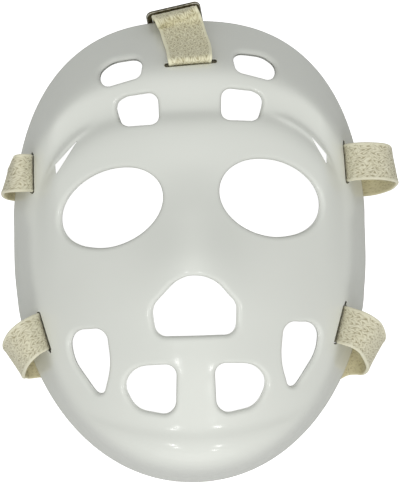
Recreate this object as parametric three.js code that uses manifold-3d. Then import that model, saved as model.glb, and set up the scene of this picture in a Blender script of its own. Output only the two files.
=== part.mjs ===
// Street-hockey goalie mask: one moulded plastic shell, three elastic straps and a metal slide.
// The mask lies on its back edge, face up. Units are millimetres, +Z is up, +Y runs up the face.
import * as THREE from 'three';
import { mergeVertices } from 'three/addons/utils/BufferGeometryUtils.js';
import Module from 'manifold-3d';

const wasm = await Module();
wasm.setup();

// ---- driving dimensions -------------------------------------------------------------------
const WALL = 3.0; // moulded wall thickness
const HALF_W = 99; // half width of the back edge
const MID_Y = -8; // height on the face where the mask is widest
const UP_H = 129; // from the widest line to the top of the back edge
const DOWN_H = 123.5; // from the widest line to the chin end of the back edge
const UP_POW = 2.52; // fullness of the upper outline
const DOWN_POW = 2.06; // fullness of the lower outline
const FLAT_TOP = 6; // the back edge is flat on the ground between these two heights
const FLAT_LOW = -26;
const STRAP_LIFT = 4.6; // how far the back edge rises where the side straps pass under it
const TOP_RISE = 18; // further rise of the back edge up to the crown
const CHIN_RISE = 24; // further rise of the back edge down to the chin
const SIDE_SLOPE = 2.8; // steepness of the side flange, rise over run
const CHIN_SLOPE = 4.0;
const CROWN_SLOPE = 2.0;
const FALL_POW = 1.8; // how the face falls away sideways
const BROW_Y = 63.5; // height of the brow line at the middle
const BROW_DROP = 22; // how far the brow line drops at the temples
const BROW_X = 72; // where it has dropped that far
const BROW_TILT = 0.02; // the moulding sits slightly askew
const BROW_STEP = 5; // how far the forehead sinks towards the valley over the brow
const TEMPLE_STEP = 3; // and how much further at the temples
const VALLEY = 2.5; // the valley's height above the brow line, and its roundness
const VALLEY_ROUND = 1.1;
const BROW_OUT = 8; // how far the face swells out under the valley
const TEMPLE_OUT = 1; // and how much further at the temples
const RINGS = 21; // mesh rings from the middle of the face to the back edge

const CROWN_W = 24; // woven elastic: width of the crown strap and of the two bands
const BAND_W = 20.5;
const STRAP_T = 2.0;
const GAP = 0.4; // clearance between a strap and what it lies on
const SLOT_L = 26; // side slots
const SLOT_W = 4.2;

const SLIDE_W = 30.4; // metal slide, outside width, height and plate thickness
const SLIDE_H = 21;
const SLIDE_T = 1.5;
const SLIDE_BAR = 2.4; // its three cross bars and its two side bars
const SLIDE_SIDE = 2.8;

// Middle line of the face from the crown to the chin, and how far it falls 60 mm to the side.
const SECTIONS = [
  { y: 118, front: 64, fall: 18 },
  { y: 105, front: 68, fall: 18 },
  { y: 92, front: 71.5, fall: 19 },
  { y: 80, front: 74, fall: 20 },
  { y: 70, front: 75.5, fall: 21.5 },
  { y: 60, front: 77.5, fall: 23 },
  { y: 45, front: 81, fall: 25 },
  { y: 25, front: 85, fall: 27 },
  { y: 5, front: 88.5, fall: 28 },
  { y: -15, front: 90, fall: 28 },
  { y: -35, front: 90, fall: 28 },
  { y: -55, front: 88.5, fall: 28.5 },
  { y: -72, front: 86.5, fall: 29 },
  { y: -80, front: 84.2, fall: 29.3 },
  { y: -86, front: 81.6, fall: 29 },
  { y: -91, front: 79.2, fall: 28.7 },
  { y: -96, front: 77.8, fall: 28.3 },
  { y: -101, front: 78.2, fall: 28 },
  { y: -108, front: 76.4, fall: 27.5 },
  { y: -117, front: 72.2, fall: 27 },
  { y: -128, front: 66.5, fall: 25 },
];

// Soft swellings (+) and hollows (-) of the face.
const SWELLS = [
  { name: 'nose', x: 0, y: -34, wide: 30, high: 30, out: 9 },
  { name: 'mouth', x: 0, y: -76, wide: 34, high: 16, out: 3 },
  { name: 'right_socket', x: 40, y: 20, wide: 26, high: 18, out: -2.5 },
  { name: 'left_socket', x: -40, y: 20, wide: 26, high: 18, out: -2.5 },
];

// Rounded outlines of the openings on the right half, corner by corner with its radius.
const OUTLINES = {
  nose: [
    { x: -19, y: -47.8, r: 6 },
    { x: 21, y: -47.6, r: 5.5 },
    { x: 21.6, y: -32.2, r: 7 },
    { x: 10, y: -18.3, r: 16 },
    { x: -6.6, y: -17.2, r: 15.5 },
    { x: -21, y: -33, r: 9 },
  ],
  mouth: [
    { x: 10.5, y: -62.3, r: 5.5 },
    { x: 11.4, y: -89, r: 6 },
    { x: 31.2, y: -85.4, r: 11 },
    { x: 37.5, y: -72.5, r: 20 },
    { x: 30.3, y: -63.6, r: 11 },
  ],
  cheek: [
    { x: 48, y: -42.3, r: 6.5 },
    { x: 66.5, y: -45, r: 14 },
    { x: 64.3, y: -60, r: 22 },
    { x: 50.5, y: -79.5, r: 2.2 },
    { x: 45.8, y: -62.5, r: 38 },
  ],
  square: [
    { x: 16.8, y: 63, r: 4.5 },
    { x: 36, y: 62.5, r: 5 },
    { x: 38.8, y: 74, r: 5 },
    { x: 33.5, y: 77.5, r: 5.5 },
    { x: 17.4, y: 79.2, r: 5 },
  ],
  oblong: [
    { x: 24.4, y: 95.9, r: 5 },
    { x: 25.2, y: 88.4, r: 5 },
    { x: 44.3, y: 83.8, r: 3.5 },
    { x: 46.9, y: 92, r: 6 },
    { x: 39.4, y: 97.4, r: 11 },
    { x: 27, y: 98.5, r: 4 },
  ],
  right_slit: [
    { x: 64.4, y: 54.9, r: 0.12 },
    { x: 73.3, y: 39.4, r: 0.3 },
    { x: 73.5, y: 45, r: 0.5 },
  ],
  left_slit: [
    { x: 58.4, y: 54.7, r: 0.12 },
    { x: 70.9, y: 36.8, r: 0.3 },
    { x: 71.6, y: 42, r: 0.5 },
  ],
};

// Where each opening is cut. A mirrored one is the right-hand outline reflected, then moved.
const OPENINGS = [
  { outline: 'nose', mirror: 1, dx: 0, dy: 0 },
  { outline: 'mouth', mirror: 1, dx: 0, dy: 0 },
  { outline: 'mouth', mirror: -1, dx: 0.8, dy: -0.1 },
  { outline: 'cheek', mirror: 1, dx: 0, dy: 0 },
  { outline: 'cheek', mirror: -1, dx: 1.7, dy: -1.4 },
  { outline: 'square', mirror: 1, dx: 0, dy: 0 },
  { outline: 'square', mirror: -1, dx: 0.9, dy: -1.7 },
  { outline: 'oblong', mirror: 1, dx: 0, dy: 0 },
  { outline: 'oblong', mirror: -1, dx: 0, dy: -2.2 },
  { outline: 'right_slit', mirror: 1, dx: 0, dy: 0 },
  { outline: 'left_slit', mirror: -1, dx: 0, dy: 0 },
];
const EYES = [
  { x: 41.7, y: 21.7, long: 27, short: 19.3, tilt: -17 },
  { x: -41.6, y: 18.2, long: 27.5, short: 18.9, tilt: 23 },
];
const SLOTS = [
  { name: 'crown', x: 1.1, y: 93, length: 28.4, turn: 4.5 },
  { name: 'upper_right', x: 85.7, y: 40.3, length: SLOT_L, turn: 94 },
  { name: 'upper_left', x: -85.5, y: 39.2, length: SLOT_L, turn: 90 },
  { name: 'lower_right', x: 79.8, y: -45.4, length: SLOT_L, turn: 73 },
  { name: 'lower_left', x: -80.4, y: -46.2, length: SLOT_L, turn: -73 },
];

// ---- the face surface ---------------------------------------------------------------------
const clamp = (v, a, b) => Math.min(b, Math.max(a, v));
const smooth = (a, b, v) => {
  const t = clamp((v - a) / (b - a), 0, 1);
  return t * t * (3 - 2 * t);
};

// Smooth curve through one column of the section table.
function section(y, column) {
  const rows = SECTIONS;
  const n = rows.length;
  if (y >= rows[0].y) {
    return rows[0][column] + (y - rows[0].y) * (rows[0][column] - rows[1][column])
      / (rows[0].y - rows[1].y);
  }
  let i = 0;
  while (i < n - 2 && y < rows[i + 1].y) i += 1;
  const slope = (k) => {
    const a = rows[Math.max(0, k - 1)];
    const b = rows[Math.min(n - 1, k + 1)];
    return (a[column] - b[column]) / (a.y - b.y);
  };
  const h = rows[i + 1].y - rows[i].y;
  const t = (y - rows[i].y) / h;
  const t2 = t * t;
  const t3 = t2 * t;
  return (2 * t3 - 3 * t2 + 1) * rows[i][column] + (t3 - 2 * t2 + t) * h * slope(i)
    + (3 * t2 - 2 * t3) * rows[i + 1][column] + (t3 - t2) * h * slope(i + 1);
}

// Height of the back edge over the ground.
function edgeHeight(y) {
  const up = Math.max(0, y - FLAT_TOP);
  const down = Math.max(0, FLAT_LOW - y);
  return STRAP_LIFT * smooth(0, 14, up) + TOP_RISE * (up / 115) ** 2
    + STRAP_LIFT * smooth(0, 13, down) + CHIN_RISE * (down / 105.5) ** 2;
}

// 1 on the back edge, 0 in the middle of the face, with its gradient.
function outlineNorm(x, y) {
  const v = y - MID_Y;
  const high = v >= 0 ? UP_H : DOWN_H;
  const p = v >= 0 ? UP_POW : DOWN_POW;
  const ax = Math.abs(x) / HALF_W;
  const ay = Math.abs(v) / high;
  const r = Math.max(1e-6, (ax ** p + ay ** p) ** (1 / p));
  const gx = (Math.sign(x) * r ** (1 - p) * ax ** (p - 1)) / HALF_W;
  const gy = (Math.sign(v) * r ** (1 - p) * ay ** (p - 1)) / high;
  return { r, gx, gy, g: Math.max(1e-9, Math.hypot(gx, gy)) };
}

const browLine = (x) => BROW_Y - BROW_DROP * (Math.abs(x) / BROW_X) ** 4 + BROW_TILT * x;

function faceHeight(x, y) {
  const ax = Math.abs(x);
  const lift = 9 * (ax / 60) ** 2 * smooth(-60, -92, y);
  const fall = section(y - lift, 'fall') * (ax / 60) ** FALL_POW;
  let z = section(y - lift, 'front') - fall;
  const over = y - browLine(x);
  const wide = 1 - smooth(70, 84, ax);
  z += (BROW_STEP + TEMPLE_STEP * smooth(30, 60, ax)) * wide * smooth(4, 34, over);
  const down = VALLEY_ROUND * Math.log1p(Math.exp(Math.min((VALLEY - over) / VALLEY_ROUND, 60)));
  const out = BROW_OUT + TEMPLE_OUT * smooth(30, 60, ax);
  z += out * wide * (1 - Math.exp(-down / 6.5)) * Math.exp(-down / 28);
  z += 5.5 * Math.exp(-((x / 19) ** 2)) * smooth(58, 30, y) * smooth(-40, -5, y);
  for (const s of SWELLS) {
    z += s.out * Math.exp(-(((x - s.x) / s.wide) ** 2) - ((y - s.y) / s.high) ** 2);
  }
  return z;
}

// The face and the side wall run into each other with a soft fold.
function skinHeight(x, y) {
  const o = outlineNorm(x, y);
  const ny = o.gy / o.g;
  const slope = SIDE_SLOPE + (CHIN_SLOPE - SIDE_SLOPE) * smooth(0.3, 0.95, -ny)
    + (CROWN_SLOPE - SIDE_SLOPE) * smooth(0.3, 0.95, ny);
  const w = edgeHeight(y) + (slope * (1 - o.r)) / o.g;
  const f = faceHeight(x, y);
  const k = 1.6 + 4.5 * smooth(0.2, 0.9, ny) + 1.5 * smooth(0.3, 0.9, -ny);
  const m = Math.min(w, f);
  return m - k * Math.log(Math.exp((m - w) / k) + Math.exp((m - f) / k));
}

function skinNormal(x, y) {
  const e = 0.6;
  const dx = (skinHeight(x + e, y) - skinHeight(x - e, y)) / (2 * e);
  const dy = (skinHeight(x, y + e) - skinHeight(x, y - e)) / (2 * e);
  return new THREE.Vector3(-dx, -dy, 1).normalize();
}

// A point a given distance outside (+) or inside (-) the outer skin.
function offSkin(x, y, out) {
  const n = skinNormal(x, y).multiplyScalar(out);
  return [x + n.x, y + n.y, skinHeight(x, y) + n.z];
}

// ---- helpers ------------------------------------------------------------------------------
function toManifold(geometry) {
  const g = geometry.clone();
  g.deleteAttribute('normal');
  g.deleteAttribute('uv');
  const m = mergeVertices(g, 1e-4);
  const mesh = new wasm.Mesh({
    numProp: 3,
    vertProperties: new Float32Array(m.attributes.position.array),
    triVerts: new Uint32Array(m.index.array),
  });
  return new wasm.Manifold(mesh);
}

function fromManifold(solid) {
  const mesh = solid.getMesh();
  const g = new THREE.BufferGeometry();
  g.setAttribute('position', new THREE.Float32BufferAttribute(Array.from(mesh.vertProperties), 3));
  g.setIndex(Array.from(mesh.triVerts));
  return g;
}

function closedMesh(points, faces) {
  const g = new THREE.BufferGeometry();
  g.setAttribute('position', new THREE.Float32BufferAttribute(points.flat(), 3));
  g.setIndex(faces.flat());
  return g;
}

// Closed 2-D path with a fillet at each corner.
function filleted(corners, steps) {
  const out = [];
  const n = corners.length;
  corners.forEach((c, i) => {
    const b = new THREE.Vector2(c.x, c.y);
    const u = new THREE.Vector2(corners[(i + n - 1) % n].x, corners[(i + n - 1) % n].y).sub(b);
    const v = new THREE.Vector2(corners[(i + 1) % n].x, corners[(i + 1) % n].y).sub(b);
    const lu = u.length();
    const lv = v.length();
    u.divideScalar(lu);
    v.divideScalar(lv);
    const half = Math.acos(clamp(u.dot(v), -1, 1)) / 2;
    const t = Math.min(c.r / Math.tan(half), 0.49 * lu, 0.49 * lv);
    const r = t * Math.tan(half);
    const bis = u.clone().add(v).normalize();
    const o = b.clone().addScaledVector(bis, r / Math.sin(half));
    const p = b.clone().addScaledVector(u, t).sub(o);
    const q = b.clone().addScaledVector(v, t).sub(o);
    const a0 = Math.atan2(p.y, p.x);
    let da = Math.atan2(q.y, q.x) - a0;
    if (da > Math.PI) da -= 2 * Math.PI;
    if (da < -Math.PI) da += 2 * Math.PI;
    for (let s = 0; s <= steps; s += 1) {
      const a = a0 + (da * s) / steps;
      out.push(new THREE.Vector2(o.x + r * Math.cos(a), o.y + r * Math.sin(a)));
    }
  });
  return out;
}

function punch(outline) {
  const g = new THREE.ExtrudeGeometry(new THREE.Shape(outline), {
    depth: 160,
    bevelEnabled: false,
    curveSegments: 1,
  });
  g.translate(0, 0, -20);
  return toManifold(g);
}

function openingOutline(o) {
  const corners = OUTLINES[o.outline].map((c) => ({
    x: c.x * o.mirror + o.dx,
    y: c.y + o.dy,
    r: c.r,
  }));
  if (o.mirror < 0) corners.reverse();
  return filleted(corners, 3);
}

function eyeOutline(e) {
  const out = [];
  const t = (e.tilt * Math.PI) / 180;
  for (let i = 0; i < 28; i += 1) {
    const a = (2 * Math.PI * i) / 28;
    const u = e.long * Math.cos(a);
    const v = e.short * Math.sin(a);
    out.push(new THREE.Vector2(
      e.x + u * Math.cos(t) - v * Math.sin(t),
      e.y + u * Math.sin(t) + v * Math.cos(t),
    ));
  }
  return out;
}

function slotOutline(s) {
  const t = (s.turn * Math.PI) / 180;
  const corner = (u, v) => ({
    x: s.x + u * Math.cos(t) - v * Math.sin(t),
    y: s.y + u * Math.sin(t) + v * Math.cos(t),
    r: 1.2,
  });
  const l = s.length / 2;
  const w = SLOT_W / 2;
  return filleted([corner(-l, -w), corner(l, -w), corner(l, w), corner(-l, w)], 2);
}

// ---- shell --------------------------------------------------------------------------------
function shellGeometry() {
  const points = [];
  const faces = [];
  const spokes = (k) => (k === 0 ? 1 : 6 * k);
  const start = [0];
  for (let k = 0; k <= RINGS; k += 1) start.push(start[k] + spokes(k));
  const total = start[RINGS + 1];
  const outer = [];
  const inner = [];
  for (let k = 0; k <= RINGS; k += 1) {
    const r = k / RINGS;
    for (let j = 0; j < spokes(k); j += 1) {
      const a = (2 * Math.PI * j) / spokes(k);
      const unit = outlineNorm(Math.cos(a), MID_Y + Math.sin(a)).r;
      const x = (r * Math.cos(a)) / unit;
      const y = MID_Y + (r * Math.sin(a)) / unit;
      if (k < RINGS) {
        outer.push([x, y, skinHeight(x, y)]);
        inner.push(offSkin(x, y, -WALL));
      } else {
        const z = edgeHeight(y);
        const o = outlineNorm(x, y);
        const n = skinNormal(x * 0.99, MID_Y + (y - MID_Y) * 0.99);
        const inset = WALL / Math.hypot(n.x, n.y);
        outer.push([x, y, z]);
        inner.push([x - (inset * o.gx) / o.g, y - (inset * o.gy) / o.g, z]);
      }
    }
  }
  points.push(...outer, ...inner);
  const tri = (a, b, c) => {
    faces.push([a, b, c]);
    faces.push([a + total, c + total, b + total]);
  };
  for (let k = 0; k < RINGS; k += 1) {
    const n0 = spokes(k);
    const n1 = spokes(k + 1);
    for (let side = 0; side < 6; side += 1) {
      for (let j = 0; j <= k; j += 1) {
        const a1 = start[k + 1] + ((side * (k + 1) + j) % n1);
        const b1 = start[k + 1] + ((side * (k + 1) + j + 1) % n1);
        const a0 = start[k] + ((side * k + j) % n0);
        tri(a0, a1, b1);
        if (j < k) {
          const b0 = start[k] + ((side * k + j + 1) % n0);
          tri(a0, b1, b0);
        }
      }
    }
  }
  const last = start[RINGS];
  const n = spokes(RINGS);
  for (let j = 0; j < n; j += 1) {
    const a = last + j;
    const b = last + ((j + 1) % n);
    faces.push([a, a + total, b + total]);
    faces.push([a, b + total, b]);
  }
  let solid = toManifold(closedMesh(points, faces));
  for (const o of OPENINGS) solid = solid.subtract(punch(openingOutline(o)));
  for (const e of EYES) solid = solid.subtract(punch(eyeOutline(e)));
  for (const s of SLOTS) solid = solid.subtract(punch(slotOutline(s)));
  return fromManifold(solid);
}

// ---- straps -------------------------------------------------------------------------------
// Stations along a strap: position, then the direction of its width as a heading seen from
// above and a lean out of the horizontal, both in degrees.
const catmull = (a, b, c, d, t) => 0.5 * (2 * b + (c - a) * t + (2 * a - 5 * b + 4 * c - d) * t * t
  + (3 * b - a - 3 * c + d) * t * t * t);

function ribbonPath(stations, step) {
  const rows = [];
  const n = stations.length;
  const at = (i) => stations[clamp(i, 0, n - 1)];
  for (let i = 0; i < n - 1; i += 1) {
    const p = at(i);
    const q = at(i + 1);
    const span = Math.hypot(q.x - p.x, q.y - p.y, q.z - p.z);
    const count = Math.max(2, Math.round(span / step));
    for (let s = 0; s < count; s += 1) {
      const t = s / count;
      const row = {};
      for (const c of ['x', 'y', 'z', 'heading', 'lean']) {
        row[c] = catmull(at(i - 1)[c], p[c], q[c], at(i + 2)[c], t);
      }
      rows.push(row);
    }
  }
  rows.push({ ...at(n - 1) });
  return rows;
}

function ribbonGeometry(stations, width) {
  const rows = ribbonPath(stations, 4.5);
  const points = [];
  const faces = [];
  const n = rows.length;
  rows.forEach((p, i) => {
    const a = rows[Math.max(0, i - 1)];
    const b = rows[Math.min(n - 1, i + 1)];
    const along = new THREE.Vector3(b.x - a.x, b.y - a.y, b.z - a.z).normalize();
    const h = (p.heading * Math.PI) / 180;
    const l = (p.lean * Math.PI) / 180;
    const wide = new THREE.Vector3(
      Math.cos(h) * Math.cos(l),
      Math.sin(h) * Math.cos(l),
      Math.sin(l),
    );
    wide.addScaledVector(along, -wide.dot(along)).normalize();
    const thick = new THREE.Vector3().crossVectors(along, wide);
    for (const [u, v] of [[-1, -1], [1, -1], [1, 1], [-1, 1]]) {
      const c = new THREE.Vector3(p.x, p.y, p.z)
        .addScaledVector(wide, (u * width) / 2)
        .addScaledVector(thick, (v * STRAP_T) / 2);
      points.push([c.x, c.y, c.z]);
    }
  });
  for (let i = 0; i < n - 1; i += 1) {
    for (let c = 0; c < 4; c += 1) {
      const a = 4 * i + c;
      const b = 4 * i + ((c + 1) % 4);
      faces.push([a, b, b + 4]);
      faces.push([a, b + 4, a + 4]);
    }
  }
  const e = 4 * (n - 1);
  faces.push([0, 2, 1], [0, 3, 2], [e, e + 1, e + 2], [e, e + 2, e + 3]);
  return closedMesh(points, faces);
}

const station = (x, y, z, heading, lean) => ({ x, y, z, heading, lean });

// Upper band: sewn end, up through the right slot, out round the flange, under the back edge,
// on edge behind the brow, and the same again on the left.
const UPPER_BAND = [
  station(84.9, 40.2, 17.4, 92, 0),
  station(85.2, 40.4, 20.5, 92.5, 0),
  station(85.5, 40.6, 25, 93, 0),
  station(85.9, 40.8, 33, 94, 0),
  station(89, 41, 40.4, 93, 0),
  station(96, 41, 43.2, 91, 0),
  station(104.6, 40.4, 40.6, 90, 0),
  station(110, 39, 34, 95, -7),
  station(112.4, 37.2, 24.6, 97, -30),
  station(111, 34.8, 13, 98, -19),
  station(105.2, 33.2, 4.5, 94, -6),
  station(98.4, 32.8, 2, 90, 0),
  station(91.4, 33.2, 2, 90, 2),
  station(85.4, 33.8, 4.8, 89, 18),
  station(80.4, 34.9, 8.6, 85, 43),
  station(75.8, 36.5, 10.8, 77, 71),
  station(71, 38.7, 11.2, 69, 86),
  station(65, 41.6, 11.2, 66, 90),
  station(56, 45.8, 11.2, 66, 90),
  station(43, 51.6, 11.2, 68, 90),
  station(28, 57.2, 11.2, 72, 90),
  station(9, 60, 11.2, 84, 90),
  station(-11, 59, 11.2, 96, 90),
  station(-29, 54, 11.2, 112, 90),
  station(-44, 46.4, 11.2, 118, 90),
  station(-56, 40.8, 11.2, 117, 90),
  station(-64.6, 37.6, 11.2, 113, 90),
  station(-70.8, 35.8, 11.2, 108, 86),
  station(-75.6, 34.8, 10.8, 102, 71),
  station(-80.2, 34.4, 8.6, 95, 43),
  station(-85, 34.3, 4.8, 91, 18),
  station(-90, 34.4, 2, 88, 2),
  station(-95.6, 34.6, 1.8, 88, 0),
  station(-99.9, 35.3, 4.9, 84, 0),
  station(-100.6, 36.1, 13, 78, 0),
  station(-99.3, 37, 24, 72, 0),
  station(-97.4, 37.8, 34, 72, 0),
  station(-94, 38.4, 40.2, 79, 0),
  station(-89.4, 38.6, 40.9, 86, 0),
  station(-86, 38.6, 35.4, 90, 0),
  station(-85.4, 38.5, 26, 90, 0),
  station(-85.2, 38.4, 20.5, 90, 0),
  station(-85, 38.2, 17.4, 90, 0),
];

// Lower band: the same way through the two lower slots, on edge round the inside of the chin.
const LOWER_BAND = [
  station(71.6, -46.6, 5.2, 84, 0),
  station(75.6, -46.6, 6.6, 82, 0),
  station(78.6, -46.6, 13, 77, 0),
  station(79.5, -46.5, 24, 73, 0),
  station(79.8, -46.5, 38, 73, 0),
  station(82.6, -47.2, 45.2, 70, 0),
  station(88.6, -49.4, 48.4, 64, 0),
  station(94.2, -53.2, 46, 59, 0),
  station(97.8, -58.4, 38, 57, 0),
  station(100, -63.2, 27, 59, 0),
  station(99.8, -66, 15, 64, 0),
  station(96.8, -67.4, 5.6, 72, 0),
  station(91.6, -67, 2.5, 80, 0),
  station(85.8, -67.4, 2.9, 92, 3),
  station(80.4, -70, 5.7, 108, 20),
  station(75, -74.4, 9, 122, 46),
  station(69, -80.2, 10.9, 128, 73),
  station(61, -86.8, 11.2, 128, 88),
  station(47, -96, 11.2, 118, 90),
  station(24, -104.5, 11.2, 104, 90),
  station(0, -107.5, 11.2, 90, 90),
  station(-24, -105, 11.2, 76, 90),
  station(-47, -97, 11.2, 62, 90),
  station(-61, -87, 11.2, 52, 88),
  station(-71.4, -73.2, 10.7, 51, 70),
  station(-75.4, -69, 8.2, 62, 42),
  station(-80.2, -65.8, 4.8, 78, 14),
  station(-85.4, -64.5, 2.9, 92, 3),
  station(-90.6, -65, 2.5, 101, 0),
  station(-95.2, -65.2, 5.6, 113, 0),
  station(-98.1, -65.3, 15, 121, 0),
  station(-97.6, -62.6, 27, 125, 0),
  station(-95.6, -58.6, 38, 125, 0),
  station(-92.2, -54.2, 45.6, 122, 0),
  station(-87.6, -50.2, 48, 117, 0),
  station(-82.8, -47.6, 45, 110, 0),
  station(-80.4, -46.7, 38, 107, 0),
  station(-80.1, -46.8, 24, 107, 0),
  station(-79.2, -47, 13, 103, 0),
  station(-76.2, -47, 6.6, 98, 0),
  station(-72.2, -47, 5.2, 96, 0),
];

// Crown strap: sewn end inside, up to the crown slot, out over the forehead, down past the back
// edge through the slide, along the ground and up against the upper band.
const SLIDE_AT = { x: -5.9, y: 121.3, z: 18.4, turn: 12, tip: 42 };
const lay = (x, y, out, heading) => {
  const p = offSkin(x, y, out);
  return station(p[0], p[1], p[2], heading, 0);
};
// Beside the slide: off the face that it shows by a distance, and up its plate by another.
const weave = (out, up) => {
  const t = (SLIDE_AT.turn * Math.PI) / 180;
  const l = (SLIDE_AT.tip * Math.PI) / 180;
  const away = up * Math.sin(l) - out * Math.cos(l);
  return station(
    SLIDE_AT.x - away * Math.sin(t),
    SLIDE_AT.y + away * Math.cos(t),
    SLIDE_AT.z + up * Math.cos(l) + out * Math.sin(l),
    SLIDE_AT.turn,
    0,
  );
};
const OUT = GAP + STRAP_T / 2 + 0.3;
const IN = -(WALL + GAP + STRAP_T / 2 + 2.7);
const PAST = SLIDE_T / 2 + STRAP_T / 2 + 0.7;
const TOP_STRAP = [
  station(-1.4, 90, 4.3, 3, 0),
  station(-1.4, 95.6, 5.4, 3, 0),
  station(-1.2, 100.6, 11.4, 4, 0),
  station(-1, 102.8, 21, 4, 0),
  lay(-0.2, 110, IN, 4),
  lay(0.6, 103, IN, 4.5),
  station(1, 94.6, 53.5, 4.5, 0),
  station(1.1, 92.8, 60, 4.5, 0),
  station(1.1, 92.8, 68, 4.5, 0),
  station(1, 94.8, 72.6, 4.5, 0),
  lay(0.5, 99.4, OUT + 1, 5),
  lay(-1.2, 106, OUT + 1.2, 7),
  lay(-3, 112.4, OUT + 3.2, 9),
  station(-5.4, 121.4, 40.6, 11, 0),
  station(-7, 124.6, 31, 12, 0),
  weave(2.4, 7.2),
  weave(0, 4.5),
  weave(-PAST, 1.2),
  weave(-PAST, -1.2),
  weave(0, -4.6),
  weave(PAST, -8.2),
  weave(PAST, -10.8),
  station(-4.6, 110.4, 7.4, 10, 0),
  station(-4, 107.6, 3, 8, 0),
  station(-3, 101, 1.5, 4, 0),
  station(-1.6, 84, 1.5, -1, 0),
  station(-1.2, 71, 1.6, -2, 0),
  station(-1.2, 64.6, 4.8, -2, 0),
  station(-1.2, 63, 12, -2, 0),
  station(-1.2, 62.8, 23, -2, 0),
];

function slideGeometry() {
  const rect = (x0, y0, x1, y1, r) => filleted([
    { x: x0, y: y0, r },
    { x: x1, y: y0, r },
    { x: x1, y: y1, r },
    { x: x0, y: y1, r },
  ], 4);
  const w = SLIDE_W / 2;
  const h = SLIDE_H / 2;
  const shape = new THREE.Shape(rect(-w, -h, w, h, 3.5));
  const gapH = (SLIDE_H - 3 * SLIDE_BAR) / 2;
  const x = w - SLIDE_SIDE;
  shape.holes.push(new THREE.Path(rect(-x, SLIDE_BAR / 2, x, SLIDE_BAR / 2 + gapH, 0.6)));
  shape.holes.push(new THREE.Path(rect(-x, -SLIDE_BAR / 2 - gapH, x, -SLIDE_BAR / 2, 0.6)));
  const g = new THREE.ExtrudeGeometry(shape, {
    depth: SLIDE_T,
    bevelEnabled: false,
    curveSegments: 1,
  });
  g.translate(0, 0, -SLIDE_T / 2);
  g.rotateX(Math.PI / 2 - (SLIDE_AT.tip * Math.PI) / 180);
  g.rotateZ((SLIDE_AT.turn * Math.PI) / 180);
  g.translate(SLIDE_AT.x, SLIDE_AT.y, SLIDE_AT.z);
  return mergeVertices((() => {
    g.deleteAttribute('normal');
    g.deleteAttribute('uv');
    return g;
  })(), 1e-4);
}

// ---- assembly -----------------------------------------------------------------------------
const PLASTIC = { color: '#dfe1dc', roughness: 0.22, metalness: 0 };
const ELASTIC = { color: '#cfc8a8', roughness: 0.9, metalness: 0 };
const METAL = { color: '#b3a88c', roughness: 0.35, metalness: 1 };

const NODES = [
  { name: 'shell', build: shellGeometry, look: PLASTIC },
  { name: 'upper_band', build: () => ribbonGeometry(UPPER_BAND, BAND_W), look: ELASTIC },
  { name: 'lower_band', build: () => ribbonGeometry(LOWER_BAND, BAND_W), look: ELASTIC },
  { name: 'top_strap', build: () => ribbonGeometry(TOP_STRAP, CROWN_W), look: ELASTIC },
  { name: 'slide_buckle', build: slideGeometry, look: METAL },
];

const mask = new THREE.Group();
mask.name = 'goalie_mask';
for (const node of NODES) {
  const mesh = new THREE.Mesh(node.build(), new THREE.MeshStandardMaterial(node.look));
  mesh.name = node.name;
  mask.add(mesh);
}

// Put the origin under the middle of the whole thing, on the ground.
const box = new THREE.Box3().setFromObject(mask);
const middle = box.getCenter(new THREE.Vector3());
for (const mesh of mask.children) {
  mesh.geometry.translate(-middle.x, -middle.y, -box.min.z);
}

export default mask;
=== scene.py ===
import math

import bpy
import numpy as np
from mathutils import Matrix, Vector
from mathutils.geometry import delaunay_2d_cdt


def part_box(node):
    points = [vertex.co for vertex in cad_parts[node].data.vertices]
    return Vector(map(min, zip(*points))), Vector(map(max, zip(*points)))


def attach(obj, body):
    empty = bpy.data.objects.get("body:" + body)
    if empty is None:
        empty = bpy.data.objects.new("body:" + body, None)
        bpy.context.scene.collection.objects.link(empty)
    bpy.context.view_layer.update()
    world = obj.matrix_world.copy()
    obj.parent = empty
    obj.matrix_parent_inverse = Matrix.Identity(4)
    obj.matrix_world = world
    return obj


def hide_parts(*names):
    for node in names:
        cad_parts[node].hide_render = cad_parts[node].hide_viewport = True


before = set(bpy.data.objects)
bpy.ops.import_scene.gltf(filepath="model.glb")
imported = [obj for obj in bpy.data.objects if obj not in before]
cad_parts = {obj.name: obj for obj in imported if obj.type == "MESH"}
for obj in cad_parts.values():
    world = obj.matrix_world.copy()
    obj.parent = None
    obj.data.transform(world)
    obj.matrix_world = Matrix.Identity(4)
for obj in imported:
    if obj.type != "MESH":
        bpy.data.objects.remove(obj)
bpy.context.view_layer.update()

# ---- driving dimensions -------------------------------------------------------------------
WALL = 3.0  # moulded wall thickness
HALF_W = 99.0  # half width of the back edge
MID_Y = -8.0  # height on the face where the mask is widest
UP_H = 129.0  # from the widest line to the top of the back edge
DOWN_H = 123.5  # from the widest line to the chin end of the back edge
UP_POW = 2.52  # fullness of the upper outline
DOWN_POW = 2.06  # fullness of the lower outline
FLAT_TOP = 6.0  # the back edge is flat on the ground between these two heights
FLAT_LOW = -26.0
STRAP_LIFT = 4.6  # how far the back edge rises where the side straps pass under it
TOP_RISE = 18.0  # further rise of the back edge up to the crown, and over what height
TOP_RUN = UP_H + MID_Y - FLAT_TOP
CHIN_RISE = 24.0  # further rise of the back edge down to the chin, and over what height
CHIN_RUN = DOWN_H - MID_Y + FLAT_LOW
SIDE_SLOPE = 2.8  # steepness of the side wall, rise over run
CHIN_SLOPE = 4.0
CROWN_SLOPE = 2.0
SIDE_FOLD = 1.6  # softness of the fold between side wall and face
CROWN_FOLD = 4.5  # and how much softer it is at the crown and at the chin
CHIN_FOLD = 5
FALL_POW = 1.8  # how the face falls away sideways, and where its fall is stated
FALL_X = 60
CENTRE = 16  # half the width over which the middle of the face is rounded
CHIN_BOW = 9  # how far the lines of the chin bow up to the sides
BROW_Y = 63.5  # height of the brow line at the middle
BROW_DROP = 22.0  # how far the brow line drops at the temples
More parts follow.
